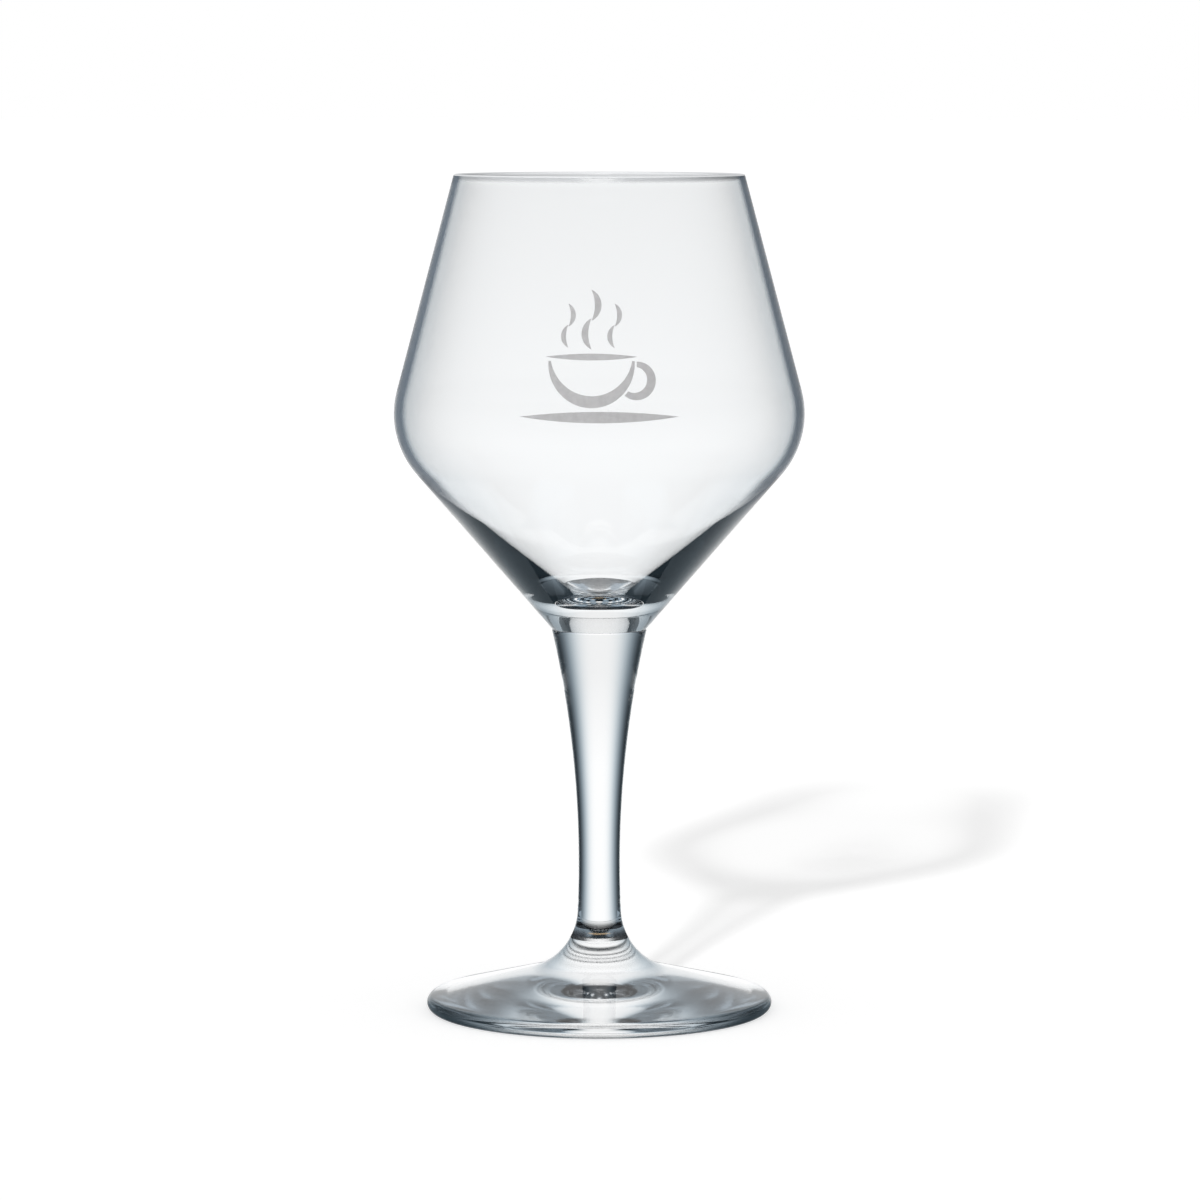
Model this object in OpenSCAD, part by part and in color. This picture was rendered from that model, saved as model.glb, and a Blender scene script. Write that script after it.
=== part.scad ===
// Stemmed coffee glass: a tapered bowl on a waisted stem and a sloping foot.
// Sizes are in millimetres. The foot stands on z = 0, the glass turns about Z,
// and the printed motif faces -Y. Outlines are drawn as [radius, height].

/* [Bowl] */
// Outer diameter of the drinking rim
rim_d = 64.5; // [58:0.1:70]
// Widest outer diameter, at the shoulder
bowl_d = 91; // [84:0.1:98]
// Height of the bowl from the stem joint to the rim
bowl_h = 100.9; // [94:0.1:112]
// Height of the widest circle above the stem joint
shoulder_h = 48; // [45:0.1:53]
// Radius of the rounded shoulder, in section
shoulder_r = 20.4; // [16:0.1:24]
// Wall thickness at the rim, whose lip is fully round
rim_wall = 1.1; // [0.9:0.05:1.5]
// Wall thickness round the shoulder
shoulder_wall = 1.9; // [1.4:0.05:2.6]
// Radius of the slow outward bow of the lower wall inside the bowl
wall_bow = 200; // [150:5:400]
// Glass between the stem joint and the floor inside the bowl
floor_wall = 7.8; // [6.5:0.1:10]
// Diameter of the flat floor inside the bowl
floor_d = 8; // [4:0.5:14]
// Radius of the rounded corner between that floor and the wall
well_r = 14; // [10:0.5:18]
// Outer diameter of the bowl where it meets the stem
base_d = 21.2; // [18:0.1:24]

/* [Stem] */
// Length of the stem from the foot joint to the bowl joint
stem_h = 69.4; // [60:0.1:80]
// Diameter of the stem at the bowl joint
stem_top_d = 21.2; // [18:0.1:24]
// Diameter of the stem at its waist
waist_d = 9.2; // [8:0.1:11]
// Height of the waist above the table
waist_h = 33; // [29:0.1:37]

/* [Foot] */
// Outer diameter of the foot
foot_d = 77.2; // [70:0.1:86]
// Height of the foot from the table to the stem joint
foot_h = 16.2; // [14.5:0.1:18]
// Radius of the flare from the stem down to the foot
flare_r = 14.2; // [13:0.1:16]
// Height of the centre of the flare above the table
flare_h = 22.8; // [21.5:0.1:24]
// Radius of the rounded edge of the foot
edge_r = 1.8; // [1.4:0.05:2.4]
// Width of the flat ring that the glass stands on
ring_w = 3; // [2:0.1:5]
// Rise of the hollow under the foot
hollow_h = 2.4; // [1:0.1:3.5]

/* [Joints] */
// Radius of the rounded edges at the joint of bowl and stem
joint_round = 0.3; // [0.15:0.05:0.6]

/* [Printed motif] */
// Width of the motif
motif_w = 34; // [26:0.5:36]
// Height of the middle of the motif above the bowl joint
motif_h = 62.5; // [60:0.5:67]
// Thickness of the enamel film
film = 0.15; // [0.1:0.05:0.3]

/* [Hidden] */
$fn = 180;
// Straight steps in each arc of an outline
arc_steps = 24;
// Height of the joint of bowl and stem above the table
joint_h = foot_h + stem_h;
// Centres of the circles that the outline of the bowl runs round
lip_r = rim_wall / 2;
lip_c = [rim_d / 2 - lip_r, bowl_h - lip_r];
shoulder_c = [bowl_d / 2 - shoulder_r, shoulder_h];
base_c = [base_d / 2 - joint_round, joint_round];
well_c = [floor_d / 2, floor_wall + well_r];
cavity_r = shoulder_r - shoulder_wall;
bow_c = bow_centre(shoulder_c, cavity_r, well_c, well_r, wall_bow);
// Directions square to the walls of the bowl where their arcs and straights meet
outer_low_a = tangent_angle(base_c, joint_round, shoulder_c, shoulder_r);
outer_top_a = tangent_angle(shoulder_c, shoulder_r, lip_c, lip_r);
bow_top_a = toward(bow_c, shoulder_c);
bow_low_a = toward(bow_c, well_c);
inner_top_a = tangent_angle(shoulder_c, cavity_r, lip_c, -lip_r);
// One long arc shapes the side of the stem
stem_rise = joint_h - waist_h;
stem_gain = (stem_top_d - waist_d) / 2;
stem_r = (stem_rise * stem_rise + stem_gain * stem_gain) / (2 * stem_gain);
stem_c = [waist_d / 2 + stem_r, waist_h];
// The rounded top edge of the stem rolls on the outside of that arc
stem_edge_h = joint_h - joint_round;
stem_edge_c = [stem_c.x - leg(stem_r + joint_round, stem_edge_h - waist_h), stem_edge_h];
stem_top_a = toward(stem_c, stem_edge_c);
// The flare touches that arc on its inside
flare_c = [stem_c.x - leg(stem_r - flare_r, waist_h - flare_h), flare_h];
flare_top_a = 180 + asin((waist_h - flare_h) / (stem_r - flare_r));
flare_joint_a = 180 + asin((flare_h - foot_h) / flare_r);
// The sloping top of the foot touches the flare and the rounded edge
edge_c = [foot_d / 2 - edge_r, edge_r];
slope_a = tangent_angle(edge_c, edge_r, flare_c, -flare_r);
// The hollow under the foot is a shallow dome
hollow_d = 2 * (edge_c.x - ring_w);
hollow_r = (hollow_d * hollow_d / 4 + hollow_h * hollow_h) / (2 * hollow_h);
hollow_c = [0, hollow_h - hollow_r];
hollow_a = 90 - asin(hollow_d / 2 / hollow_r);
// Colours of the glass and of the enamel
glass_tint = [0.86, 0.91, 0.94, 0.45];
enamel_grey = [0.50, 0.50, 0.50];

// Other short side of a right triangle
function leg(long_side, side) = sqrt(long_side * long_side - side * side);

// Direction from one point toward another
function toward(p, q) = atan2(q.y - p.y, q.x - p.x);

// Point at a distance and direction from another
function polar(c, r, a) = c + r * [cos(a), sin(a)];

// Points along an arc about c from direction a to direction b
function arc(c, r, a, b) = [for (i = [0:arc_steps]) polar(c, r, a + (b - a) * i / arc_steps)];

// Direction square to the line that touches two circles on the right of the
// way from the first to the second; a negative radius touches on the left
function tangent_angle(c1, r1, c2, r2) = toward(c1, c2) - acos((r1 - r2) / norm(c2 - c1));

// Centre of a wide arc that touches two smaller circles inside it, on the right
// of the way from the first to the second
function bow_centre(c1, r1, c2, r2, bow_r) =
    let (near = bow_r - r1, far = bow_r - r2, gap = norm(c2 - c1))
    polar(c1, near, toward(c1, c2) - acos((near * near + gap * gap - far * far) / (2 * near * gap)));

// Solid turned from half an outline
module turned(points) {
    rotate_extrude() polygon(points);
}

module bowl() {
    color(glass_tint) translate([0, 0, joint_h]) turned(concat(
        [[0, 0]],
        arc(base_c, joint_round, -90, outer_low_a),
        arc(shoulder_c, shoulder_r, outer_low_a, outer_top_a),
        arc(lip_c, lip_r, outer_top_a, inner_top_a + 180),
        arc(shoulder_c, cavity_r, inner_top_a, bow_top_a),
        arc(bow_c, wall_bow, bow_top_a, bow_low_a),
        arc(well_c, well_r, bow_low_a, -90),
        [[0, floor_wall]]
    ));
}

module stem() {
    color(glass_tint) turned(concat(
        [[0, foot_h]],
        arc(flare_c, flare_r, flare_joint_a, flare_top_a),
        arc(stem_c, stem_r, flare_top_a, stem_top_a),
        arc(stem_edge_c, joint_round, stem_top_a - 180, 90),
        [[0, joint_h]]
    ));
}

module foot() {
    color(glass_tint) turned(concat(
        [[0, foot_h]],
        arc(hollow_c, hollow_r, 90, hollow_a),
        arc(edge_c, edge_r, -90, slope_a),
        arc(flare_c, flare_r, slope_a + 180, flare_joint_a)
    ));
}

// Thin skin on the outside of the bowl, over the shoulder and the upper wall
module enamel_skin() {
    top = polar(lip_c, lip_r, outer_top_a);
    outer = film * [cos(outer_top_a), sin(outer_top_a)];
    translate([0, 0, joint_h]) turned(concat(
        arc(shoulder_c, shoulder_r + film, outer_low_a, outer_top_a),
        [top + outer, top],
        arc(shoulder_c, shoulder_r, outer_top_a, outer_low_a)
    ));
}

// Stroke that is pointed at both ends, along x, thickest in the middle
module lens(length, thickness) {
    r = (length * length + thickness * thickness) / (4 * thickness);
    intersection() {
        translate([0, r - thickness / 2]) circle(r);
        translate([0, thickness / 2 - r]) circle(r);
    }
}

// Crescent stroke along y, pointed at both ends, that bows toward +x
module crescent(length, bow, thickness) {
    outer_r = (length * length / 4 + bow * bow) / (2 * bow);
    inner_bow = bow - thickness;
    inner_r = (length * length / 4 + inner_bow * inner_bow) / (2 * inner_bow);
    difference() {
        translate([bow - outer_r, 0]) circle(outer_r);
        translate([inner_bow - inner_r, 0]) circle(inner_r);
    }
}

// Wisp of steam: two crescents that bow opposite ways
module wisp(length) {
    translate([0, length * 0.24]) crescent(length * 0.52, length * 0.17, length * 0.115);
    mirror([1, 0]) translate([0, -length * 0.24]) crescent(length * 0.52, length * 0.17, length * 0.115);
}

// Steaming cup on a saucer, about 31 wide
module cup_motif() {
    difference() {
        translate([-1.5, -1.2]) circle(8.4);
        translate([-1.5, 0.7]) circle(8);
        translate([-15, -0.6]) square([30, 15]);
    }
    translate([-1.5, 0.2]) lens(18, 1.3);
    difference() {
        translate([7.3, -4.4]) circle(3.7);
        translate([6.8, -4.2]) circle(2.5);
        translate([-1.5, -1.2]) circle(8.8);
    }
    translate([0, -11.4]) lens(31, 2.2);
    translate([-6, 6.2]) wisp(8.5);
    translate([-1.5, 7.4]) wisp(11.5);
    translate([3, 6.2]) wisp(8.5);
}

module printed_motif() {
    color(enamel_grey) intersection() {
        enamel_skin();
        translate([0, 0, joint_h + motif_h]) rotate([90, 0, 0])
            linear_extrude(bowl_d) scale(motif_w / 31) cup_motif();
    }
}

bowl();
stem();
foot();
printed_motif();
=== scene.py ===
"""Stemmed coffee glass: bowl, stem and foot of clear glass with a fired grey print.

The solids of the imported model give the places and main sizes. Each glass piece is turned
about Z from a half outline by one Geometry Nodes tree. All lengths are in metres.
"""
import logging
import math
from dataclasses import dataclass, field
from enum import Enum
from typing import ClassVar

import bmesh
import bpy
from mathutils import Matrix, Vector


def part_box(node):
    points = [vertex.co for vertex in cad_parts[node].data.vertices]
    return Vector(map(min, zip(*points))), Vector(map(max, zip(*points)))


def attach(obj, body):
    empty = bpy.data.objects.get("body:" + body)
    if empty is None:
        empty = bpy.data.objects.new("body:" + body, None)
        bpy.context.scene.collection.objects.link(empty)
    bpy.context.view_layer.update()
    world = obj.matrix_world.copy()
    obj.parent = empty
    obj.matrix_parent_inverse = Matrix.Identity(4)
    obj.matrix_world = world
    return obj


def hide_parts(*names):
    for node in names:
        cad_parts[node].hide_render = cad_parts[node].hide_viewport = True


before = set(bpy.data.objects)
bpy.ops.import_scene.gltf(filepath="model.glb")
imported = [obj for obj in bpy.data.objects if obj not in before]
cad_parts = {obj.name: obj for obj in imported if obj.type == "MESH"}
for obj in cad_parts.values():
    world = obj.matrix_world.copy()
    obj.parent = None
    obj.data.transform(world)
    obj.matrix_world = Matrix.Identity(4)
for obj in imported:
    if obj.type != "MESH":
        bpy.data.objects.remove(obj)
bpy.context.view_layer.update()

MM = 0.001
UP = math.pi / 2
DOWN = -UP
BODY = "root"
log = logging.getLogger("coffee_glass")

Point = tuple[float, float]
Colour = tuple[float, float, float]


class Zone(Enum):
    """What a stretch of a half outline becomes when it is turned."""

    TRIM = -1.0
    SKIN = 0.0
    JOINT = 1.0


class Ramp(Enum):
    """How a ramp goes from one value to another."""

    EVEN = "LINEAR"
    SMOOTH = "SMOOTHSTEP"


def polar(centre: Point, radius: float, angle: float) -> Point:
    """Returns the point at a distance and direction (radians) from a centre."""
    return (centre[0] + radius * math.cos(angle), centre[1] + radius * math.sin(angle))


def toward(start: Point, end: Point) -> float:
    """Returns the direction in radians from one point toward another."""
    return math.atan2(end[1] - start[1], end[0] - start[0])


def leg(long_side: float, side: float) -> float:
    """Returns the other short side of a right triangle."""
    return math.sqrt(long_side * long_side - side * side)


def tangent_angle(first: Point, first_r: float, second: Point, second_r: float) -> float:
    """Finds the line that touches two circles on the right of the way between them.

    Args:
        first: Centre of the first circle.
        first_r: Its radius; a negative one touches on the left.
        second: Centre of the second circle.
        second_r: Its radius; a negative one touches on the left.

    Returns:
        The direction square to that line, in radians.
    """
    reach = math.dist(first, second)
    return toward(first, second) - math.acos((first_r - second_r) / reach)


def bow_centre(first: Point, first_r: float, second: Point, second_r: float, bow_r: float) -> Point:
    """Finds the centre of a wide arc that touches two smaller circles inside it.

    Args:
        first: Centre of the first circle.
        first_r: Its radius.
        second: Centre of the second circle.
        second_r: Its radius.
        bow_r: Radius of the wide arc.

    Returns:
        The centre, on the right of the way from the first circle to the second.
    """
    near = bow_r - first_r
    far = bow_r - second_r
    gap = math.dist(first, second)
    turn = math.acos((near * near + gap * gap - far * far) / (2 * near * gap))
    return polar(first, near, toward(first, second) - turn)


@dataclass
class Outline:
    """Half outline of a turned piece, as points of radius, height and zone."""

    NEAR: ClassVar[float] = 0.0005 * MM
    points: list[tuple[float, float, Zone]] = field(default_factory=list)
    zone: Zone = Zone.SKIN

    def to(self, radius: float, height: float, zone: Zone | None = None) -> "Outline":
        """Adds one point, or joins it to the last one if they lie together.

        Args:
            radius: Distance of the point from the axis.
            height: Height of the point.
            zone: Zone of the point, else that of the outline at this stage.

        Returns:
            The outline itself.
        """
        zone = zone or self.zone
        if self.points and math.dist((radius, height), self.points[-1][:2]) < self.NEAR:
            zone = max(zone, self.points.pop()[2], key=lambda kind: kind.value)
        self.points.append((radius, height, zone))
        return self

    def line(self, radius: float, height: float, steps: int) -> "Outline":
        """Adds evenly spaced points on a straight stretch from the last point.

        Args:
            radius: Radius at the end of the stretch.
            height: Height at the end of the stretch.
            steps: Number of points added.

        Returns:
            The outline itself.
        """
        start_r, start_h, _ = self.points[-1]
        for step in range(1, steps + 1):
            share = step / steps
            self.to(start_r + (radius - start_r) * share, start_h + (height - start_h) * share)
        return self

    def arc(self, centre: Point, radius: float, start: float, end: float, steps: int) -> "Outline":
        """Adds points along an arc.

        Args:
            centre: Centre of the arc.
            radius: Radius of the arc.
            start: First direction, in radians.
            end: Last direction, in radians.
            steps: Number of steps between the two.

        Returns:
            The outline itself.
        """
        for step in range(steps + 1):
            self.to(*polar(centre, radius, start + (end - start) * step / steps))
        return self


def opaque(colour: Colour) -> tuple[float, float, float, float]:
    """Returns a colour with full alpha, as a colour socket takes it."""
    return (*colour, 1.0)


def grey(level: float) -> tuple[float, float, float, float]:
    """Returns a grey with full alpha, as a colour socket takes it."""
    return (level, level, level, 1.0)


def bare_material(name: str) -> bpy.types.Material:
    """Returns a new material that holds its output node alone."""
    mat = bpy.data.materials.new(name)
    mat.use_nodes = True
    mat.node_tree.nodes.remove(mat.node_tree.nodes["Principled BSDF"])
    return mat


def ramp_between(
    mat: bpy.types.Material, start: Point, end: Point, kind: Ramp = Ramp.SMOOTH
) -> bpy.types.Node:
    """Adds a node that goes from one value to another.

    Args:
        mat: The material that is being built.
        start: Input and result at one end.
        end: Input and result at the other end.
        kind: How it goes between the ends.

    Returns:
        The node, which holds its result beyond both ends.
    """
    ramp = mat.node_tree.nodes.new("ShaderNodeMapRange")
    ramp.interpolation_type = kind.value
    names = ("From Min", "To Min", "From Max", "To Max")
    for name, value in zip(names, (*start, *end)):
        ramp.inputs[name].default_value = value
    return ramp


@dataclass(frozen=True)
class PaintedEdgeShadeAndLight:
    """Painted shade on slanting glass, a flat colour mixed in as a band over its slant and over its
    height; a pale colour makes it painted light instead.

    The slant goes from 0, where the glass is seen face on, to 1, where it is seen edge on.

    Attributes:
        share: Strength of the shade where it is full.
        colour: Colour of the painted shade; a pale one is painted light.
        start: Slant at which the shade starts.
        full: Slant from which it is full.
        fall: Slant up to which it is full.
        rest: Part of it that is left at the very edge.
        none_at: Height at which there is none of it, and beyond.
        all_at: Height at which there is all of it, and beyond.
    """

    BLEND: ClassVar[float] = 0.5
    share: float
    colour: Colour = (0.12, 0.15, 0.19)
    start: float = 0.64
    full: float = 0.76
    fall: float = 0.82
    rest: float = 0.35
    none_at: float = -2 * MM
    all_at: float = -1 * MM

    def over(self, mat: bpy.types.Material, glass: bpy.types.Node) -> bpy.types.Node:
        """Mixes the painted shade into a glass shader, as a flat diffuse colour.

        Args:
            mat: The material that is being built.
            glass: Its glass shader.

        Returns:
            The node whose first output is the shaded glass.
        """
        nodes = mat.node_tree.nodes
        links = mat.node_tree.links
        facing = nodes.new("ShaderNodeLayerWeight")
        facing.inputs["Blend"].default_value = self.BLEND
        band = nodes.new("ShaderNodeValToRGB")
        ramp = band.color_ramp
        ramp.interpolation = "EASE"
        ramp.elements[0].position = self.start
        ramp.elements[0].color = grey(0.0)
        ramp.elements[1].color = grey(self.rest)
        for position in (self.full, self.fall):
            ramp.elements.new(position).color = grey(1.0)
        place = nodes.new("ShaderNodeTexCoord")
        axes = nodes.new("ShaderNodeSeparateXYZ")
        height = ramp_between(mat, (self.none_at, 0.0), (self.all_at, self.share))
        share = nodes.new("ShaderNodeMath")
        share.operation = "MULTIPLY"
        # A flat diffuse colour painted over the glass: painted shade where it is dark, painted light
        # where it is pale.
        shade = nodes.new("ShaderNodeBsdfDiffuse")
        shade.inputs["Color"].default_value = opaque(self.colour)
        mix = nodes.new("ShaderNodeMixShader")
        links.new(facing.outputs["Facing"], band.inputs["Fac"])
        links.new(place.outputs["Object"], axes.inputs["Vector"])
        links.new(axes.outputs["Z"], height.inputs["Value"])
        links.new(band.outputs["Color"], share.inputs[0])
        links.new(height.outputs["Result"], share.inputs[1])
        links.new(share.outputs["Value"], mix.inputs["Fac"])
        links.new(glass.outputs["BSDF"], mix.inputs[1])
        links.new(shade.outputs["BSDF"], mix.inputs[2])
        return mix


@dataclass(frozen=True)
class GlassFinish:
    """Clear fire-polished glass with the faint waves of a drawn and pressed piece.

    Attributes:
        name: Name of the material.
        tint: Colour that light takes at each surface.
        ior: How strongly the glass bends light.
        rough: Roughness of the surface.
        haze: Height and roughness at two ends of a change of roughness, if it has one.
        gloss: Strength of what the surface mirrors.
        wave_scale: Fineness of the waves.
        wave_height: Height of the waves.
        cast_clear: Share of lamp light that passes face on.
        cast_dark: Share of lamp light that passes edge on.
        cast_start: Slant at which that share begins to fall.
        edge: Painted shade on the slanting glass, or painted light where its colour is pale, if it
            has one.
    """

    CAST_BLEND: ClassVar[float] = 0.3
    WAVE_DETAIL: ClassVar[float] = 1.0
    name: str
    tint: Colour = (0.985, 0.992, 0.996)
    ior: float = 1.52
    rough: float = 0.0
    haze: tuple[Point, Point] | None = None
    gloss: float = 0.33
    wave_scale: float = 55.0
    wave_height: float = 0.02 * MM
    cast_clear: float = 0.95
    cast_dark: float = 0.02
    cast_start: float = 0.18
    edge: PaintedEdgeShadeAndLight | None = None

    def material(self) -> bpy.types.Material:
        """Builds the node material.

        Returns:
            The glass material, which lets lamp light through with darker rims.
        """
        mat = bpy.data.materials.new(self.name)
        mat.use_nodes = True
        nodes = mat.node_tree.nodes
        links = mat.node_tree.links
        glass = nodes["Principled BSDF"]
        glass.inputs["Base Color"].default_value = opaque(self.tint)
        glass.inputs["Transmission Weight"].default_value = 1.0
        glass.inputs["Roughness"].default_value = self.rough
        glass.inputs["IOR"].default_value = self.ior
        glass.inputs["Specular Tint"].default_value = grey(self.gloss)
        place = nodes.new("ShaderNodeTexCoord")
        waves = nodes.new("ShaderNodeTexNoise")
        waves.inputs["Scale"].default_value = self.wave_scale
        waves.inputs["Detail"].default_value = self.WAVE_DETAIL
        bump = nodes.new("ShaderNodeBump")
        bump.inputs["Distance"].default_value = self.wave_height
        links.new(place.outputs["Object"], waves.inputs["Vector"])
        links.new(waves.outputs["Fac"], bump.inputs["Height"])
        links.new(bump.outputs["Normal"], glass.inputs["Normal"])
        if self.haze:
            axes = nodes.new("ShaderNodeSeparateXYZ")
            upward = ramp_between(mat, *self.haze)
            links.new(place.outputs["Object"], axes.inputs["Vector"])
            links.new(axes.outputs["Z"], upward.inputs["Value"])
            links.new(upward.outputs["Result"], glass.inputs["Roughness"])
        facing = nodes.new("ShaderNodeLayerWeight")
        facing.inputs["Blend"].default_value = self.CAST_BLEND
        cast = nodes.new("ShaderNodeValToRGB")
        cast.color_ramp.elements[0].position = self.cast_start
        cast.color_ramp.elements[0].color = grey(self.cast_clear)
        cast.color_ramp.elements[1].color = grey(self.cast_dark)
        links.new(facing.outputs["Facing"], cast.inputs["Fac"])
        clear = nodes.new("ShaderNodeBsdfTransparent")
        links.new(cast.outputs["Color"], clear.inputs["Color"])
        rays = nodes.new("ShaderNodeLightPath")
        mix = nodes.new("ShaderNodeMixShader")
        links.new(rays.outputs["Is Shadow Ray"], mix.inputs["Fac"])
        # Where this glass has a painted edge band, its painted shade or painted light is mixed in
        # here.
        seen = self.edge.over(mat, glass) if self.edge else glass
        links.new(seen.outputs[0], mix.inputs[1])
        links.new(clear.outputs["BSDF"], mix.inputs[2])
        links.new(mix.outputs["Shader"], nodes["Material Output"].inputs["Surface"])
        return mat


@dataclass(frozen=True)
class JointFinish:
    """Fused seam inside the glass, which light crosses without bending."""

    name: str = "fused_joint"

    def material(self) -> bpy.types.Material:
        """Builds the see-through material of a fused seam."""
        mat = bpy.data.materials.new(self.name)
        mat.use_nodes = True
        seam = mat.node_tree.nodes["Principled BSDF"]
        seam.inputs["Alpha"].default_value = 0.0
        return mat


@dataclass(frozen=True)
class Coats:
    """Materials of one turned piece, for the zones of its outline."""

    skin: bpy.types.Material
    trim: bpy.types.Material
    joint: bpy.types.Material


@dataclass(frozen=True)
class EnamelFinish:
    """Thin fired grey enamel with a fine, slightly uneven grain, which light gets through.

    Attributes:
        name: Name of the material.
        deep: Place in the grain up to which the grey is deepest, and that grey.
        pale: Place in the grain from which the grey is palest, and that grey.
        sheen: Roughness at the two ends of the grain.
        grain_scale: Fineness of the grain.
        grain_detail: Number of finer layers in it.
        grain_height: Height of the grain.
        grain_strength: How strongly that height tells.
        glow_depth: How far light spreads in the film.
    """

    name: str = "grey_enamel"
    deep: tuple[float, Colour] = (0.3, (0.52, 0.51, 0.515))
    pale: tuple[float, Colour] = (0.6, (0.58, 0.57, 0.575))
    sheen: tuple[float, float] = (0.38, 0.55)
    grain_scale: float = 900.0
    grain_detail: float = 4.0
    grain_height: float = 0.02 * MM
    grain_strength: float = 0.5
    glow_depth: float = 1 * MM

    def material(self) -> bpy.types.Material:
        """Builds the node material.

        Returns:
            The enamel material.
        """
        mat = bpy.data.materials.new(self.name)
        mat.use_nodes = True
        nodes = mat.node_tree.nodes
        links = mat.node_tree.links
        enamel = nodes["Principled BSDF"]
        enamel.inputs["Subsurface Weight"].default_value = 1.0
        enamel.inputs["Subsurface Radius"].default_value = (1.0, 1.0, 1.0)
        enamel.inputs["Subsurface Scale"].default_value = self.glow_depth
        place = nodes.new("ShaderNodeTexCoord")
        grain = nodes.new("ShaderNodeTexNoise")
        grain.inputs["Scale"].default_value = self.grain_scale
        grain.inputs["Detail"].default_value = self.grain_detail
        greys = nodes.new("ShaderNodeValToRGB")
        for element, (position, colour) in zip(greys.color_ramp.elements, (self.deep, self.pale)):
            element.color = opaque(colour)
            element.position = position
        sheen = ramp_between(mat, (0.0, self.sheen[0]), (1.0, self.sheen[1]), Ramp.EVEN)
        bump = nodes.new("ShaderNodeBump")
        bump.inputs["Distance"].default_value = self.grain_height
        bump.inputs["Strength"].default_value = self.grain_strength
        links.new(place.outputs["Object"], grain.inputs["Vector"])
        links.new(grain.outputs["Fac"], greys.inputs["Fac"])
        links.new(grain.outputs["Fac"], sheen.inputs["Value"])
        links.new(grain.outputs["Fac"], bump.inputs["Height"])
        links.new(greys.outputs["Color"], enamel.inputs["Base Color"])
        links.new(sheen.outputs["Result"], enamel.inputs["Roughness"])
        links.new(bump.outputs["Normal"], enamel.inputs["Normal"])
        return mat


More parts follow.
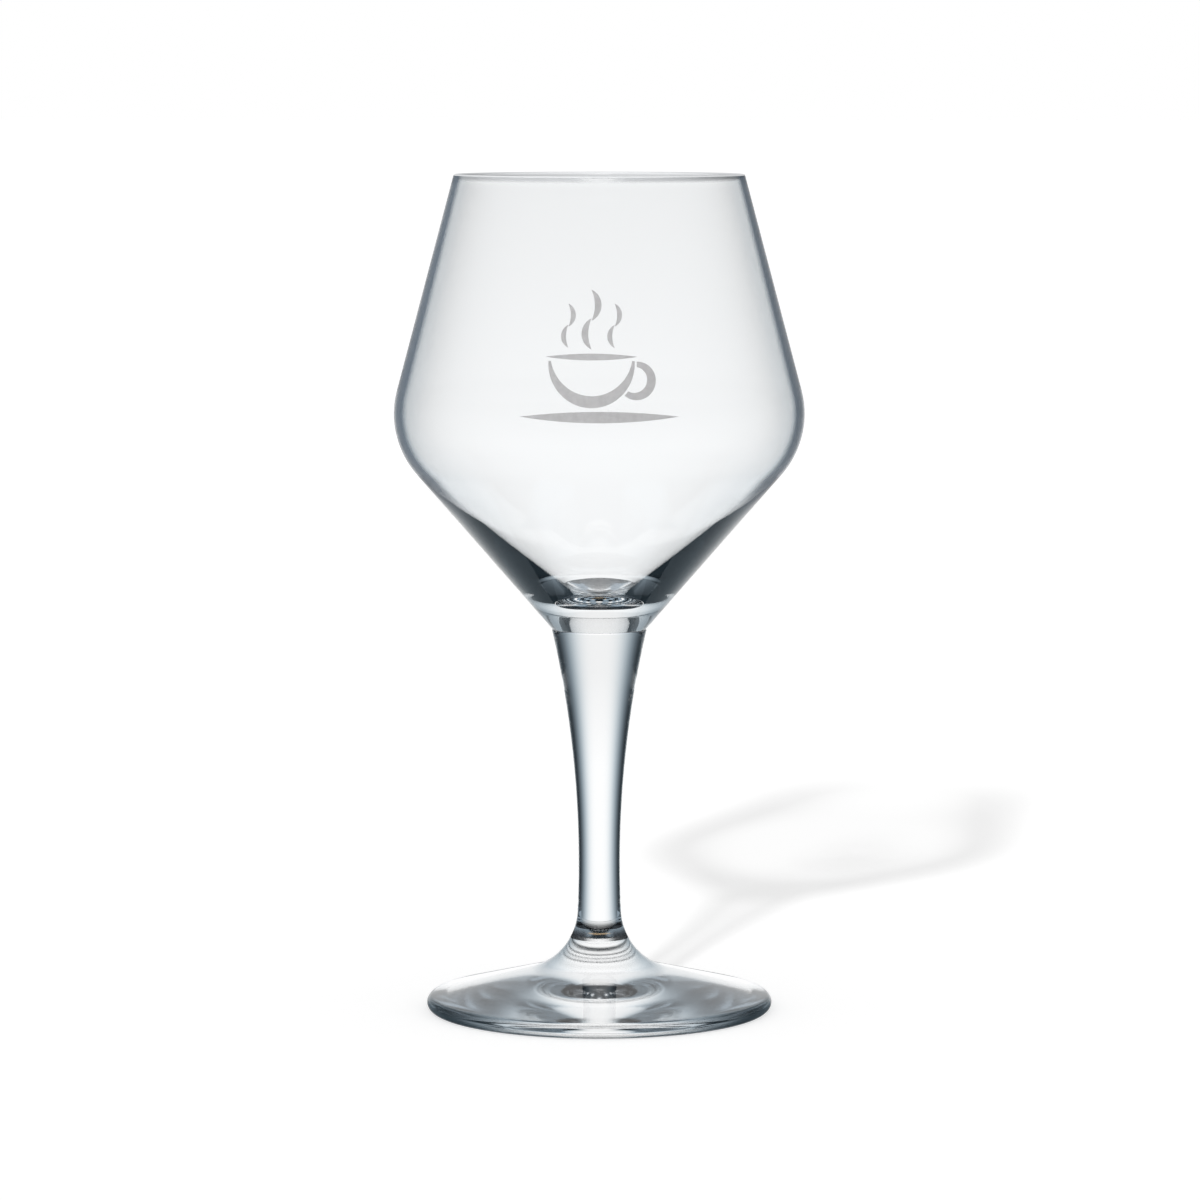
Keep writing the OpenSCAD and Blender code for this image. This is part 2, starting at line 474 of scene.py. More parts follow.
class TurningTree:
    """Geometry Nodes tree that turns a half outline about Z into a closed solid."""

    ZONE = "zone"
    SPINE = 10 * MM
    WELD = 0.0005 * MM
    CREASE = math.radians(35)
    WHOLLY = 0.99

    def __init__(self) -> None:
        """Builds the tree and notes the identifiers of its inputs."""
        self.tree = bpy.data.node_groups.new("turned_piece", "GeometryNodeTree")
        self.tree.is_modifier = True
        self.keys: dict[str, str] = {}
        self._sockets()
        self._nodes()

    def _sockets(self) -> None:
        kinds = {
            "Outline": "NodeSocketGeometry",
            "Segments": "NodeSocketInt",
            "Spine radius": "NodeSocketFloat",
            "Weld distance": "NodeSocketFloat",
            "Crease angle": "NodeSocketFloat",
            "Skin": "NodeSocketMaterial",
            "Trim": "NodeSocketMaterial",
            "Joint": "NodeSocketMaterial",
        }
        for label, kind in kinds.items():
            socket = self.tree.interface.new_socket(label, in_out="INPUT", socket_type=kind)
            self.keys[label] = socket.identifier
        self.tree.interface.new_socket("Solid", in_out="OUTPUT", socket_type="NodeSocketGeometry")

    def _nodes(self) -> None:
        """Adds the nodes that turn, weld, crease and dress the outline."""
        nodes = self.tree.nodes
        links = self.tree.links
        given = nodes.new("NodeGroupInput")
        made = nodes.new("NodeGroupOutput")
        curve = nodes.new("GeometryNodeMeshToCurve")
        inward = nodes.new("ShaderNodeMath")
        inward.operation = "MULTIPLY"
        inward.inputs[1].default_value = -1.0
        offset = nodes.new("ShaderNodeCombineXYZ")
        shifted = nodes.new("GeometryNodeTransform")
        spine = nodes.new("GeometryNodeCurvePrimitiveCircle")
        turned = nodes.new("GeometryNodeCurveToMesh")
        welded = nodes.new("GeometryNodeMergeByDistance")
        angle = nodes.new("GeometryNodeInputMeshEdgeAngle")
        crease = nodes.new("FunctionNodeCompare")
        crease.operation = "LESS_THAN"
        smooth = nodes.new("GeometryNodeSetShadeSmooth")
        smooth.domain = "EDGE"
        single = nodes.new("GeometryNodeRealizeInstances")
        zone = nodes.new("GeometryNodeInputNamedAttribute")
        zone.data_type = "FLOAT"
        zone.inputs["Name"].default_value = self.ZONE
        is_trim = nodes.new("FunctionNodeCompare")
        is_trim.operation = "LESS_THAN"
        is_trim.inputs["B"].default_value = Zone.TRIM.value * self.WHOLLY
        is_joint = nodes.new("FunctionNodeCompare")
        is_joint.operation = "GREATER_THAN"
        is_joint.inputs["B"].default_value = Zone.JOINT.value * self.WHOLLY
        skin = nodes.new("GeometryNodeSetMaterial")
        trim = nodes.new("GeometryNodeSetMaterial")
        joint = nodes.new("GeometryNodeSetMaterial")
        links.new(given.outputs["Outline"], curve.inputs["Mesh"])
        links.new(given.outputs["Spine radius"], inward.inputs[0])
        links.new(inward.outputs["Value"], offset.inputs["X"])
        links.new(curve.outputs["Curve"], shifted.inputs["Geometry"])
        links.new(offset.outputs["Vector"], shifted.inputs["Translation"])
        links.new(given.outputs["Segments"], spine.inputs["Resolution"])
        links.new(given.outputs["Spine radius"], spine.inputs["Radius"])
        links.new(spine.outputs["Curve"], turned.inputs["Curve"])
        links.new(shifted.outputs["Geometry"], turned.inputs["Profile Curve"])
        links.new(turned.outputs["Mesh"], welded.inputs["Geometry"])
        links.new(given.outputs["Weld distance"], welded.inputs["Distance"])
        links.new(angle.outputs["Unsigned Angle"], crease.inputs["A"])
        links.new(given.outputs["Crease angle"], crease.inputs["B"])
        links.new(welded.outputs["Geometry"], smooth.inputs["Geometry"])
        links.new(crease.outputs["Result"], smooth.inputs["Shade Smooth"])
        links.new(smooth.outputs["Geometry"], single.inputs["Geometry"])
        links.new(single.outputs["Geometry"], skin.inputs["Geometry"])
        links.new(given.outputs["Skin"], skin.inputs["Material"])
        links.new(zone.outputs["Attribute"], is_trim.inputs["A"])
        links.new(skin.outputs["Geometry"], trim.inputs["Geometry"])
        links.new(is_trim.outputs["Result"], trim.inputs["Selection"])
        links.new(given.outputs["Trim"], trim.inputs["Material"])
        links.new(zone.outputs["Attribute"], is_joint.inputs["A"])
        links.new(trim.outputs["Geometry"], joint.inputs["Geometry"])
        links.new(is_joint.outputs["Result"], joint.inputs["Selection"])
        links.new(given.outputs["Joint"], joint.inputs["Material"])
        links.new(joint.outputs["Geometry"], made.inputs["Solid"])

    def _profile(self, name: str, outline: Outline) -> bpy.types.Object:
        """Makes an object that holds the outline as a chain of edges.

        Args:
            name: Name of the object.
            outline: The half outline to hold.

        Returns:
            The linked object, with radius along X and height along -Y, which the sweep takes to Z.
        """
        corners = [(radius, -height, 0.0) for radius, height, _ in outline.points]
        chain = [(i, i + 1) for i in range(len(corners) - 1)]
        mesh = bpy.data.meshes.new(name)
        mesh.from_pydata(corners, chain, [])
        zones = mesh.attributes.new(self.ZONE, "FLOAT", "POINT")
        zones.data.foreach_set("value", [zone.value for _, _, zone in outline.points])
        holder = bpy.data.objects.new(name, mesh)
        bpy.context.scene.collection.objects.link(holder)
        return holder

    def turn(self, name: str, outline: Outline, segments: int, coats: Coats) -> bpy.types.Object:
        """Turns an outline into a plain mesh object.

        Args:
            name: Name of the piece.
            outline: Its half outline, from axis to axis.
            segments: Number of steps round the axis.
            coats: Materials of its zones.

        Returns:
            The finished piece at the origin, with faces that point outwards.
        """
        piece = self._profile(name, outline)
        modifier = piece.modifiers.new("turning", "NODES")
        modifier.node_group = self.tree
        inputs = {
            "Segments": segments,
            "Spine radius": self.SPINE,
            "Weld distance": self.WELD,
            "Crease angle": self.CREASE,
            "Skin": coats.skin,
            "Trim": coats.trim,
            "Joint": coats.joint,
        }
        for label, value in inputs.items():
            modifier[self.keys[label]] = value
        depsgraph = bpy.context.evaluated_depsgraph_get()
        mesh = bpy.data.meshes.new_from_object(piece.evaluated_get(depsgraph))
        piece.modifiers.clear()
        piece.data = mesh
        mesh.name = name
        self._face_outwards(mesh)
        return piece

    @staticmethod
    def _face_outwards(mesh: bpy.types.Mesh) -> None:
        """Turns every face of a closed mesh outwards."""
        shell = bmesh.new()
        shell.from_mesh(mesh)
        bmesh.ops.recalc_face_normals(shell, faces=shell.faces)
        shell.to_mesh(mesh)
        shell.free()


def hang(piece: bpy.types.Object, node: str) -> bpy.types.Object:
    """Puts a glass piece in the place of a node of the frame.

    Args:
        piece: The finished piece.
        node: Name of the node that it stands for.

    Returns:
        The piece.
    """
    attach(piece, BODY)
    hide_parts(node)
    return piece


@dataclass
class Bowl:
    """Tapered bowl with a rounded shoulder, a round lip and a thick base."""

    BASE_STEPS: ClassVar[int] = 8
    LOWER_STEPS: ClassVar[int] = 16
    UPPER_STEPS: ClassVar[int] = 20
    LIP_STEPS: ClassVar[int] = 14
    BEND_STEPS: ClassVar[int] = 32
    BOW_STEPS: ClassVar[int] = 40
    FLOOR_STEPS: ClassVar[int] = 6
    tree: TurningTree
    coats: Coats
    seat_r: float = field(init=False)
    rim_d: float = 64.5 * MM
    shoulder_h: float = 48 * MM
    shoulder_r: float = 20.4 * MM
    rim_wall: float = 1.1 * MM
    shoulder_wall: float = 1.9 * MM
    wall_bow: float = 200 * MM
    floor_wall: float = 7.8 * MM
    floor_d: float = 8 * MM
    well_r: float = 14 * MM
    base_d: float = 21.2 * MM
    base_round: float = 0.3 * MM
    segments: int = 240

    @property
    def flat_r(self) -> float:
        """Radius of the flat face at the bottom."""
        return self.base_d / 2 - self.base_round

    def outline(self) -> Outline:
        """Draws the half outline from the joint, round the lip, to the well.

        Returns:
            The closed half outline of the bowl, with lip and inside as its trim.
        """
        low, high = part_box("bowl")
        foot = low.z
        lip_r = self.rim_wall / 2
        lip = (self.rim_d / 2 - lip_r, high.z - lip_r)
        shoulder = (high.x - self.shoulder_r, foot + self.shoulder_h)
        base = (self.flat_r, foot + self.base_round)
        well = (self.floor_d / 2, foot + self.floor_wall + self.well_r)
        cavity_r = self.shoulder_r - self.shoulder_wall
        bow = bow_centre(shoulder, cavity_r, well, self.well_r, self.wall_bow)
        outer_low = tangent_angle(base, self.base_round, shoulder, self.shoulder_r)
        outer_top = tangent_angle(shoulder, self.shoulder_r, lip, lip_r)
        bow_top = toward(bow, shoulder)
        bow_low = toward(bow, well)
        inner_top = tangent_angle(shoulder, cavity_r, lip, -lip_r)
        line = Outline()
        line.to(0.0, foot, Zone.JOINT).to(self.seat_r, foot, Zone.JOINT)
        line.arc(base, self.base_round, DOWN, outer_low, self.BASE_STEPS)
        line.line(*polar(shoulder, self.shoulder_r, outer_low), self.LOWER_STEPS)
        line.arc(shoulder, self.shoulder_r, outer_low, outer_top, self.BEND_STEPS)
        line.line(*polar(lip, lip_r, outer_top), self.UPPER_STEPS)
        line.zone = Zone.TRIM
        line.arc(lip, lip_r, outer_top, inner_top + math.pi, self.LIP_STEPS)
        line.line(*polar(shoulder, cavity_r, inner_top), self.UPPER_STEPS)
        line.arc(shoulder, cavity_r, inner_top, bow_top, self.BEND_STEPS)
        line.arc(bow, self.wall_bow, bow_top, bow_low, self.BOW_STEPS)
        line.arc(well, self.well_r, bow_low, DOWN, self.BEND_STEPS)
        line.line(0.0, foot + self.floor_wall, self.FLOOR_STEPS)
        return line

    def build(self) -> bpy.types.Object:
        """Makes the bowl and hangs it on the frame."""
        piece = self.tree.turn("glass_bowl", self.outline(), self.segments, self.coats)
        return hang(piece, "bowl")


@dataclass
class Stem:
    """Waisted solid stem that ends below in the top of the flare."""

    FLARE_STEPS: ClassVar[int] = 24
    SIDE_STEPS: ClassVar[int] = 96
    EDGE_STEPS: ClassVar[int] = 8
    tree: TurningTree
    coats: Coats
    top_d: float = 21.2 * MM
    waist_d: float = 9.2 * MM
    waist_h: float = 33 * MM
    flare_r: float = 14.2 * MM
    flare_h: float = 22.8 * MM
    edge_round: float = 0.3 * MM
    segments: int = 160

    def __post_init__(self) -> None:
        """Works out the long arc of the side and the flare that touches it."""
        low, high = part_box("stem")
        self.low_h = low.z
        self.top_h = high.z
        rise = self.top_h - self.waist_h
        gain = (self.top_d - self.waist_d) / 2
        self.side_r = (rise * rise + gain * gain) / (2 * gain)
        self.side: Point = (self.waist_d / 2 + self.side_r, self.waist_h)
        drop = self.waist_h - self.flare_h
        reach = self.side_r - self.flare_r
        self.flare: Point = (self.side[0] - leg(reach, drop), self.flare_h)
        self.flare_top = math.pi + math.asin(drop / reach)
        self.flare_joint = math.pi + math.asin((self.flare_h - self.low_h) / self.flare_r)
        edge_h = self.top_h - self.edge_round
        edge_x = self.side[0] - leg(self.side_r + self.edge_round, edge_h - self.waist_h)
        self.edge: Point = (edge_x, edge_h)

    @property
    def flat_r(self) -> float:
        """Radius of the flat face at the top."""
        return self.edge[0]

    def outline(self) -> Outline:
        """Draws the half outline from the foot joint up to the seam of the bowl.

        Returns:
            The closed half outline of the stem, with a glass top so that the seam shows.
        """
        side_top = toward(self.side, self.edge)
        seam_r = polar(self.flare, self.flare_r, self.flare_joint)[0]
        line = Outline()
        line.to(0.0, self.low_h, Zone.JOINT).to(seam_r, self.low_h, Zone.JOINT)
        line.arc(self.flare, self.flare_r, self.flare_joint, self.flare_top, self.FLARE_STEPS)
        line.arc(self.side, self.side_r, self.flare_top, side_top, self.SIDE_STEPS)
        line.arc(self.edge, self.edge_round, side_top - math.pi, UP, self.EDGE_STEPS)
        line.to(0.0, self.top_h)
        return line

    def build(self) -> bpy.types.Object:
        """Makes the stem and hangs it on the frame."""
        piece = self.tree.turn("glass_stem", self.outline(), self.segments, self.coats)
        return hang(piece, "stem")


@dataclass
class Foot:
    """Round sloping foot that flares up into the stem and is hollow below."""

    HOLLOW_STEPS: ClassVar[int] = 40
    EDGE_STEPS: ClassVar[int] = 24
    SLOPE_STEPS: ClassVar[int] = 30
    FLARE_STEPS: ClassVar[int] = 40
    tree: TurningTree
    coats: Coats
    stem: Stem
    edge_r: float = 1.8 * MM
    ring_w: float = 3 * MM
    hollow_h: float = 2.4 * MM
    segments: int = 240

    def outline(self) -> Outline:
        """Draws the half outline from the hollow, round the edge, to the stem joint.

        Returns:
            The closed half outline of the foot, with its rounded edge as its trim.
        """
        _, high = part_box("foot")
        edge = (high.x - self.edge_r, self.edge_r)
        ring_r = edge[0] - self.ring_w
        hollow_r = (ring_r * ring_r + self.hollow_h * self.hollow_h) / (2 * self.hollow_h)
        hollow = (0.0, self.hollow_h - hollow_r)
        flare = self.stem.flare
        flare_r = self.stem.flare_r
        slope = tangent_angle(edge, self.edge_r, flare, -flare_r)
        line = Outline()
        line.arc(hollow, hollow_r, UP, toward(hollow, (ring_r, 0.0)), self.HOLLOW_STEPS)
        line.zone = Zone.TRIM
        line.arc(edge, self.edge_r, DOWN, slope, self.EDGE_STEPS)
        line.zone = Zone.SKIN
        line.line(*polar(flare, flare_r, slope + math.pi), self.SLOPE_STEPS)
        line.arc(flare, flare_r, slope + math.pi, self.stem.flare_joint, self.FLARE_STEPS)
        line.to(*line.points[-1][:2], Zone.JOINT).to(0.0, high.z, Zone.JOINT)
        return line

    def build(self) -> bpy.types.Object:
        """Makes the foot and hangs it on the frame."""
        piece = self.tree.turn("glass_foot", self.outline(), self.segments, self.coats)
        return hang(piece, "foot")


@dataclass
class PrintedMotif:
    """Steaming cup in enamel on the front of the bowl, as the solid gives it."""

    enamel: bpy.types.Material

    def dress(self) -> bpy.types.Object:
        """Gives the print its enamel."""
        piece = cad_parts["printed_motif"]
        piece.data.materials.clear()
        piece.data.materials.append(self.enamel)
        return piece


@dataclass
class Studio:
    """White table, cards that the glass shows, key lamp, room and camera.

    Attributes:
        bounces: How often light may turn, and how often within glass.
        floor_half: Half the width of the table.
        floor_white: Its brightness.
        floor_lift: Light of its own that the camera sees on it.
        ambient: Even light of the room on the table.
        key_strength: Strength of the key lamp.
        key_left: How far left of the front it stands.
        key_up: How high it stands.
        key_soft: How wide it looks, which softens the shadow.
        room: Colour of the room in the glass.
        front: Colour of the dark cloth.
        front_half: Half its width.
        skirt: Colour of the skirts.
        skirt_away: Their distance from the axis.
        skirt_top: Depth of their top edge below the table.
        skirt_low: Depth of their low edge.
        skirt_half: Half their width.
        glint: Colour of the glint.
        glint_y: Where it starts and ends behind the axis.
        glint_half: Half its width.
        glint_drop: Its depth below the table.
        tunnel_r: Radius of the bent backdrop card.
        tunnel_half: Half its width.
        tunnel_reach: Angle that it bends through, up and down.
        tunnel_steps: Number of faces round the bend.
        tunnel_fade: Distance to the side at which each colour falls to half.
        tunnel_fall: How fast it falls there.
        tunnel_dim: Height and brightness at the low and the high end of its dimming.
        lens_px: Focal length in pixels of the frame.
        frame_px: Width of the frame in pixels.
        sensor_mm: Width of the sensor.
        clip: Nearest and farthest distance that the camera sees.
        distance: Distance of the camera from its aim.
        tilt: How far it looks down.
        aim: The point that it looks at.
    """

    bounces: tuple[int, int] = (40, 32)
    floor_half: float = 30.0
    floor_white: float = 0.97
    floor_lift: float = 0.345
    ambient: float = 0.43
    key_strength: float = 1.94
    key_left: float = math.radians(14.2)
    key_up: float = math.radians(27.4)
    key_soft: float = math.radians(3)
    room: Colour = (0.016, 0.024, 0.030)
    front: Colour = (0.009, 0.013, 0.017)
    front_half: float = 3.0
    skirt: Colour = (0.29, 0.36, 0.42)
    skirt_away: float = 60 * MM
    skirt_top: float = 0.5 * MM
    skirt_low: float = 250 * MM
    skirt_half: float = 60 * MM
    glint: Colour = (1.0, 0.72, 0.42)
    glint_y: tuple[float, float] = (3.8 * MM, 5.0 * MM)
    glint_half: float = 5 * MM
    glint_drop: float = 5 * MM
    tunnel_r: float = 1.0
    tunnel_half: float = 1.6
    tunnel_reach: float = math.radians(60)
    tunnel_steps: int = 24
    tunnel_fade: Colour = (0.51, 0.55, 0.58)
    tunnel_fall: float = 3.3
    tunnel_dim: tuple[Point, Point] = ((0.03, 1.04), (0.17, 0.92))
    lens_px: float = 5118.0
    frame_px: float = 1200.0
    sensor_mm: float = 36.0
    clip: tuple[float, float] = (0.01, 200.0)
    distance: float = 1.1386
    tilt: float = math.radians(5.739)
    aim: Vector = field(default_factory=lambda: Vector((0.00016, 0.0, 0.09202)))

    def build(self) -> None:
        """Sets up everything round the glass."""
        scene = bpy.context.scene
        scene.view_settings.view_transform = "Standard"
        most, in_glass = self.bounces
        scene.cycles.max_bounces = most
        scene.cycles.glossy_bounces = in_glass
        scene.cycles.transmission_bounces = in_glass
        scene.cycles.transparent_max_bounces = in_glass
        self._camera()
        self._floor()
        self._tunnel()
        self._front()
        self._skirts()
        self._glint()
        self._key()
        self._world()

    def _camera(self) -> None:
        """Places the camera at the photograph's viewing angle."""
        data = bpy.data.cameras.new("camera")
        data.sensor_width = self.sensor_mm
        data.lens = self.lens_px / self.frame_px * self.sensor_mm
        data.clip_start, data.clip_end = self.clip
        self.camera = bpy.data.objects.new("camera", data)
        back = Vector((0.0, -math.cos(self.tilt), math.sin(self.tilt)))
        self.camera.location = self.aim + back * self.distance
        self.camera.rotation_euler = (math.pi / 2 - self.tilt, 0.0, 0.0)
        bpy.context.scene.collection.objects.link(self.camera)
        bpy.context.scene.camera = self.camera

    @staticmethod
    def _strip(name: str, half: float, edge: list[Point]) -> bpy.types.Object:
        """Makes a strip of faces along X.

        Args:
            name: Name of the strip.
            half: Half its width along X.
            edge: Points of Y and Z that its side follows.

        Returns:
            The linked stage object.
        """
        corners = [(side * half, y, z) for y, z in edge for side in (-1, 1)]
        faces = [(2 * i, 2 * i + 1, 2 * i + 3, 2 * i + 2) for i in range(len(edge) - 1)]
        mesh = bpy.data.meshes.new(name)
        mesh.from_pydata(corners, [], faces)
        strip = bpy.data.objects.new(name, mesh)
        bpy.context.scene.collection.objects.link(strip)
        return strip

    @staticmethod
    def _seen_in_glass(strip: bpy.types.Object) -> None:
        """Shows a strip only to rays that the glass bends or mirrors."""
        strip.visible_camera = False
        strip.visible_diffuse = False
        strip.visible_shadow = False

    @staticmethod
    def _glow(name: str, colour: Colour) -> bpy.types.Material:
        """Builds an even glow.

        Args:
            name: Name of the material.
            colour: Colour of the glow.

        Returns:
            The material.
        """
        mat = bare_material(name)
        nodes = mat.node_tree.nodes
        glow = nodes.new("ShaderNodeEmission")
        glow.inputs["Color"].default_value = opaque(colour)
        mat.node_tree.links.new(glow.outputs["Emission"], nodes["Material Output"].inputs["Surface"])
        return mat

    def _floor(self) -> None:
        """Lays the white table, which takes the shadow."""
        half = self.floor_half
        floor = self._strip("floor", half, [(-half, 0.0), (half, 0.0)])
        floor.visible_glossy = False
        floor.visible_transmission = False
        mat = bare_material("white_table")
        nodes = mat.node_tree.nodes
        links = mat.node_tree.links
        white = nodes.new("ShaderNodeBsdfDiffuse")
        white.inputs["Color"].default_value = grey(self.floor_white)
        lift = nodes.new("ShaderNodeEmission")
        rays = nodes.new("ShaderNodeLightPath")
        strength = nodes.new("ShaderNodeMath")
        strength.operation = "MULTIPLY"
        strength.inputs[1].default_value = self.floor_lift
        links.new(rays.outputs["Is Camera Ray"], strength.inputs[0])
        links.new(strength.outputs["Value"], lift.inputs["Strength"])
        lit = nodes.new("ShaderNodeAddShader")
        links.new(white.outputs["BSDF"], lit.inputs[0])
        links.new(lift.outputs["Emission"], lit.inputs[1])
        links.new(lit.outputs["Shader"], nodes["Material Output"].inputs["Surface"])
        floor.data.materials.append(mat)

    def _tunnel(self) -> None:
        """Bends a lit white card over, behind and under the glass, open at both sides.

        It rides with the camera, so that it stands behind the glass in every view.
        """
        bends = [
            self.tunnel_reach * (2 * step / self.tunnel_steps - 1)
            for step in range(self.tunnel_steps + 1)
        ]
        edge = [
            (self.tunnel_r * math.sin(bend), -self.tunnel_r * math.cos(bend)) for bend in bends
        ]
        card = self._strip("backdrop_card", self.tunnel_half, edge)
        self._seen_in_glass(card)
        card.parent = self.camera
        card.location = (0.0, 0.0, -self.distance)
        card.data.materials.append(self._backdrop())

    def _backdrop(self) -> bpy.types.Material:
        """Builds the glow of the card, which fades to its sides and dims upwards.

        Returns:
            The material.
        """
        mat = bare_material("backdrop_white")
        nodes = mat.node_tree.nodes
        links = mat.node_tree.links
        place = nodes.new("ShaderNodeTexCoord")
        axes = nodes.new("ShaderNodeSeparateXYZ")
        links.new(place.outputs["Object"], axes.inputs["Vector"])
        colour = nodes.new("ShaderNodeCombineColor")
        for channel, fade in enumerate(self.tunnel_fade):
            value = axes.outputs["X"]
            steps = (
                ("DIVIDE", fade),
                ("ABSOLUTE", 0.0),
                ("POWER", self.tunnel_fall),
                ("ADD", 1.0),
                ("POWER", -1.0),
            )
            for operation, number in steps:
                work = nodes.new("ShaderNodeMath")
                work.operation = operation
                work.inputs[1].default_value = number
                links.new(value, work.inputs[0])
                value = work.outputs["Value"]
            links.new(value, colour.inputs[channel])
        upward = ramp_between(mat, *self.tunnel_dim, Ramp.EVEN)
        glow = nodes.new("ShaderNodeEmission")
        links.new(axes.outputs["Y"], upward.inputs["Value"])
        links.new(upward.outputs["Result"], glow.inputs["Strength"])
        links.new(colour.outputs["Color"], glow.inputs["Color"])
        links.new(glow.outputs["Emission"], nodes["Material Output"].inputs["Surface"])
        return mat

    def _front(self) -> None:
        """Hangs a dark cloth round the camera, which the thick glass throws back."""
        half = self.front_half
        cloth = self._strip("front_cloth", half, [(-half, 0.0), (half, 0.0)])
        self._seen_in_glass(cloth)
        cloth.parent = self.camera
        cloth.data.materials.append(self._glow("front_dark", self.front))

    def _skirts(self) -> None:
        """Hangs a pale skirt below the table at each side, which shows through the foot."""
        mat = self._glow("skirt_pale", self.skirt)
        edge = [(self.skirt_away, -self.skirt_top), (self.skirt_away, -self.skirt_low)]
        for name, turn in (("left_skirt", math.pi / 2), ("right_skirt", -math.pi / 2)):
            skirt = self._strip(name, self.skirt_half, edge)
            self._seen_in_glass(skirt)
            skirt.rotation_euler = (0.0, 0.0, turn)
            skirt.data.materials.append(mat)

    def _glint(self) -> None:
        """Lays a warm glint below the foot, which sparkles low in the stem."""
        near, far = self.glint_y
        edge = [(near, -self.glint_drop), (far, -self.glint_drop)]
        strip = self._strip("warm_glint", self.glint_half, edge)
        self._seen_in_glass(strip)
        strip.data.materials.append(self._glow("glint_warm", self.glint))

    def _key(self) -> None:
        """Lights the table from the front left, for the soft shadow behind."""
        data = bpy.data.lights.new("key_lamp", "SUN")
        data.energy = self.key_strength
        data.angle = self.key_soft
        lamp = bpy.data.objects.new("key_lamp", data)
        lamp.rotation_euler = (math.pi / 2 - self.key_up, 0.0, -self.key_left)
        lamp.visible_glossy = False
        lamp.visible_transmission = False
        bpy.context.scene.collection.objects.link(lamp)

    def _world(self) -> None:
        """Fills the room: white to the camera, dim to the glass, even as light."""
        world = bpy.data.worlds.new("room")
        bpy.context.scene.world = world
        world.use_nodes = True
        nodes = world.node_tree.nodes
        links = world.node_tree.links
        light = nodes["Background"]
        light.inputs["Color"].default_value = grey(self.ambient)
        dim = nodes.new("ShaderNodeBackground")
        dim.inputs["Color"].default_value = opaque(self.room)
        white = nodes.new("ShaderNodeBackground")
        white.inputs["Color"].default_value = grey(1.0)
        rays = nodes.new("ShaderNodeLightPath")
        bent = nodes.new("ShaderNodeMath")
        bent.operation = "ADD"
        glass = nodes.new("ShaderNodeMixShader")
        camera = nodes.new("ShaderNodeMixShader")
        links.new(rays.outputs["Is Glossy Ray"], bent.inputs[0])
        links.new(rays.outputs["Is Transmission Ray"], bent.inputs[1])
        links.new(bent.outputs["Value"], glass.inputs["Fac"])
        links.new(light.outputs["Background"], glass.inputs[1])
        links.new(dim.outputs["Background"], glass.inputs[2])
        links.new(rays.outputs["Is Camera Ray"], camera.inputs["Fac"])
        links.new(glass.outputs["Shader"], camera.inputs[1])
        links.new(white.outputs["Background"], camera.inputs[2])
        links.new(camera.outputs["Shader"], nodes["World Output"].inputs["Surface"])


def bowl_coats(joint: bpy.types.Material) -> Coats:
    """Mixes the glass of the bowl: walls with painted shade where they are seen edge on, and a lip
    made pale by painted light.

    Args:
        joint: Material of a fused seam.

    Returns:
        The coats of the bowl.
    """
    # Painted shade: a dark flat colour mixed into the wall where it is seen edge on.
    wall_painted_shade = PaintedEdgeShadeAndLight(0.84, none_at=110 * MM, all_at=120 * MM)
    rim_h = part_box("bowl")[1].z
    # Painted light: a pale flat colour mixed into the lip and the top of the inside.
    lip_painted_light = PaintedEdgeShadeAndLight(
        share=0.85,
        colour=(0.90, 0.915, 0.93),
        start=0.0,
        full=0.01,
        rest=1.0,
        none_at=rim_h - 1.8 * MM,
        all_at=rim_h - 0.8 * MM,
    )
    wall = GlassFinish("bowl_glass", edge=wall_painted_shade).material()
    lip = GlassFinish("lip_glass", edge=lip_painted_light).material()
    return Coats(wall, lip, joint)


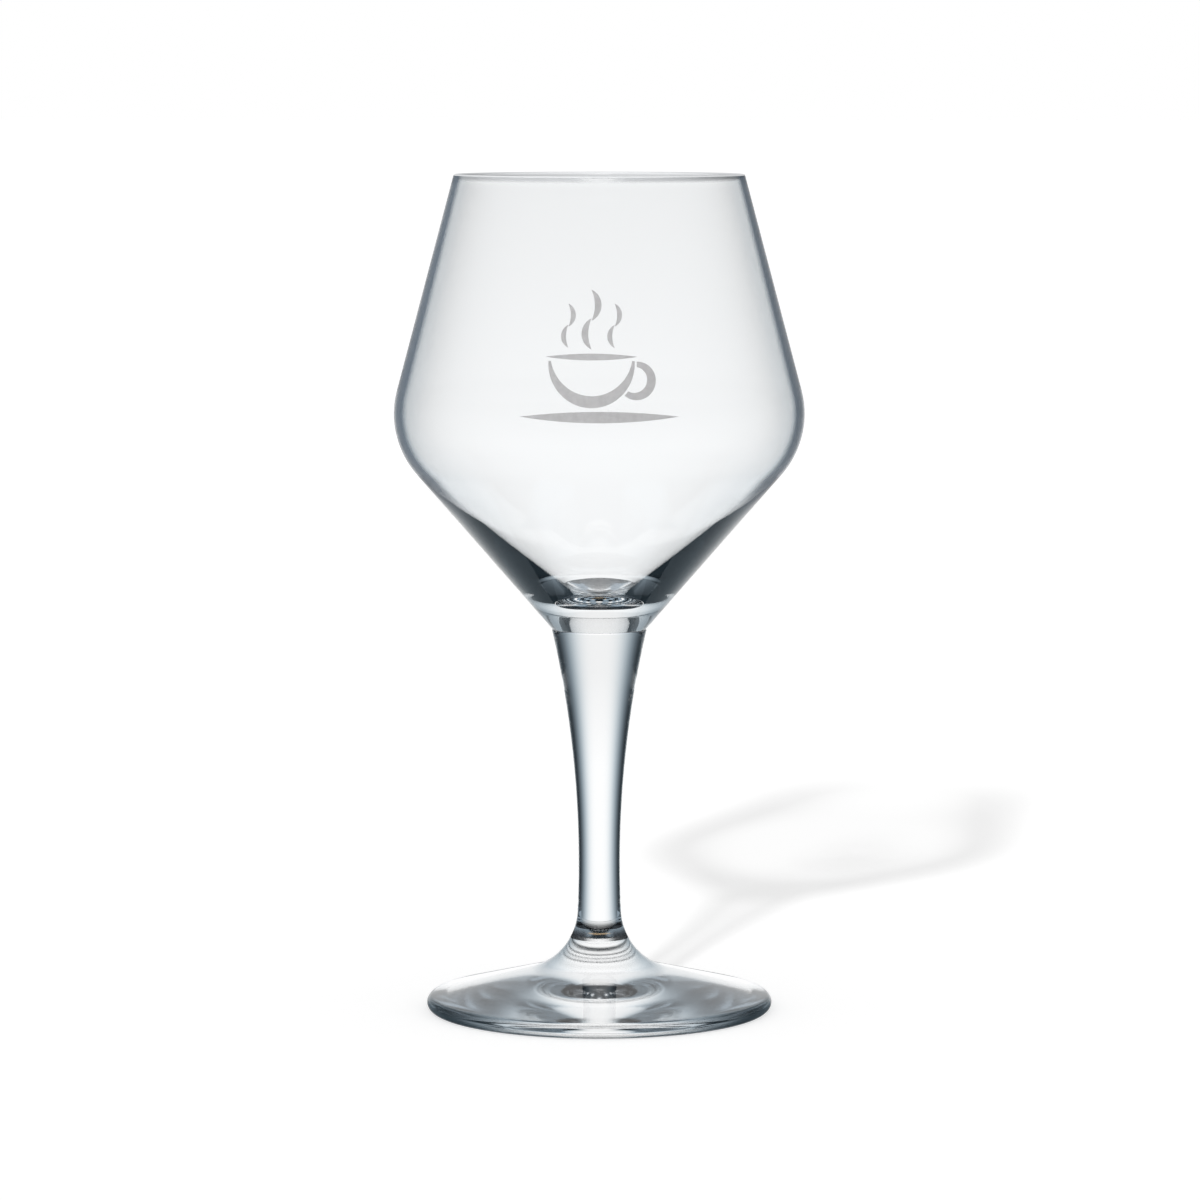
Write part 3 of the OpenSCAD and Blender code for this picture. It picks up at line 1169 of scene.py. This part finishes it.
def stem_coats(joint: bpy.types.Material) -> Coats:
    """Mixes the glass of the stem, with a band of painted shade at its low seam.

    Args:
        joint: Material of a fused seam.

    Returns:
        The coats of the stem.
    """
    # Painted shade: a near-black flat colour mixed in as a band at the low end of the stem.
    seam_painted_shade = PaintedEdgeShadeAndLight(
        share=0.9,
        colour=(0.02, 0.02, 0.022),
        start=0.0,
        full=0.22,
        rest=1.0,
        none_at=19.5 * MM,
        all_at=17.2 * MM,
    )
    drawn = GlassFinish(
        "stem_glass", rough=0.02, cast_clear=0.90, cast_start=0.0, edge=seam_painted_shade
    ).material()
    return Coats(drawn, drawn, joint)


def foot_coats(joint: bpy.types.Material) -> Coats:
    """Mixes the glass of the foot: a hazy flare, a fine outline of painted shade and a rim darkened
    by painted shade.

    Args:
        joint: Material of a fused seam.

    Returns:
        The coats of the foot.
    """
    # Painted shade: a dark flat colour mixed in as a thin outline where the foot is seen edge on.
    foot_outline_painted_shade = PaintedEdgeShadeAndLight(0.6, start=0.94, full=0.985, fall=0.99, rest=1.0)
    flare_haze = ((8 * MM, 0.05), (12 * MM, 0.15))
    # Painted shade: a dark blue-grey flat colour mixed into the low half of the rounded rim.
    rim_painted_shade = PaintedEdgeShadeAndLight(
        share=0.65,
        colour=(0.02, 0.035, 0.045),
        start=0.15,
        full=0.6,
        rest=1.0,
        none_at=3.2 * MM,
        all_at=1.2 * MM,
    )
    pressed = GlassFinish(
        "foot_glass", haze=flare_haze, cast_clear=1.0, cast_dark=0.9, edge=foot_outline_painted_shade
    ).material()
    rim = GlassFinish(
        "foot_rim_glass", rough=0.02, cast_clear=1.0, cast_dark=0.9, edge=rim_painted_shade
    ).material()
    return Coats(pressed, rim, joint)


def main() -> None:
    """Builds the glass, dresses it and sets up the studio."""
    logging.basicConfig(level=logging.INFO, format="%(name)s: %(message)s")
    tree = TurningTree()
    joint = JointFinish().material()
    bowl = Bowl(tree, bowl_coats(joint))
    stem = Stem(tree, stem_coats(joint))
    bowl.seat_r = min(bowl.flat_r, stem.flat_r)
    foot = Foot(tree, foot_coats(joint), stem)
    for part in (bowl, stem, foot):
        piece = part.build()
        log.info("%s: %d faces", piece.name, len(piece.data.polygons))
    motif = PrintedMotif(EnamelFinish().material()).dress()
    log.info("%s: enamel on the solid", motif.name)
    Studio().build()


if __name__ == "__main__":
    main()
